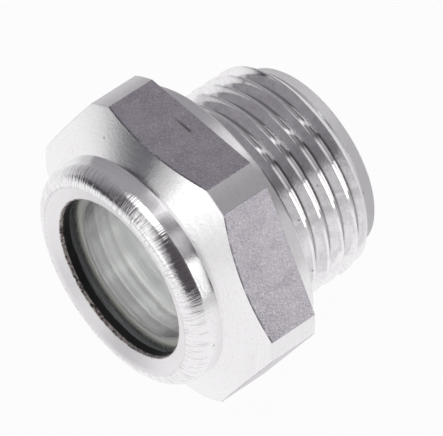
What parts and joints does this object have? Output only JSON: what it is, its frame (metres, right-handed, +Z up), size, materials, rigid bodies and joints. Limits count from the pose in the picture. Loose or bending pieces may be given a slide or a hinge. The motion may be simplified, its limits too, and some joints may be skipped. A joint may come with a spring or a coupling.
{
  "type": "threaded oil sight glass level gauge",
  "caption": "Turned aluminium level gauge: a glass disc under a rolled lip, a hexagon and collar, and a hollow threaded stud that screws into a tank wall.",
  "frame": {"origin": "centre of the collar's rear sealing face", "axes": "+Y along the gauge's axis towards the threaded stud, glass facing -Y, +Z up with the gauge lying on one flat of its hexagon"},
  "size_m": [0.0242, 0.0182, 0.022],
  "materials": {
    "aluminium": "bare turned aluminium",
    "seal_rubber": "matt nitrile rubber",
    "glass": "polished float glass with a faint green edge"
  },
  "bodies": {
    "root": {"body": "aluminium", "seal_ring": "seal_rubber", "sight_glass": "glass"}
  },
  "joints": []
}
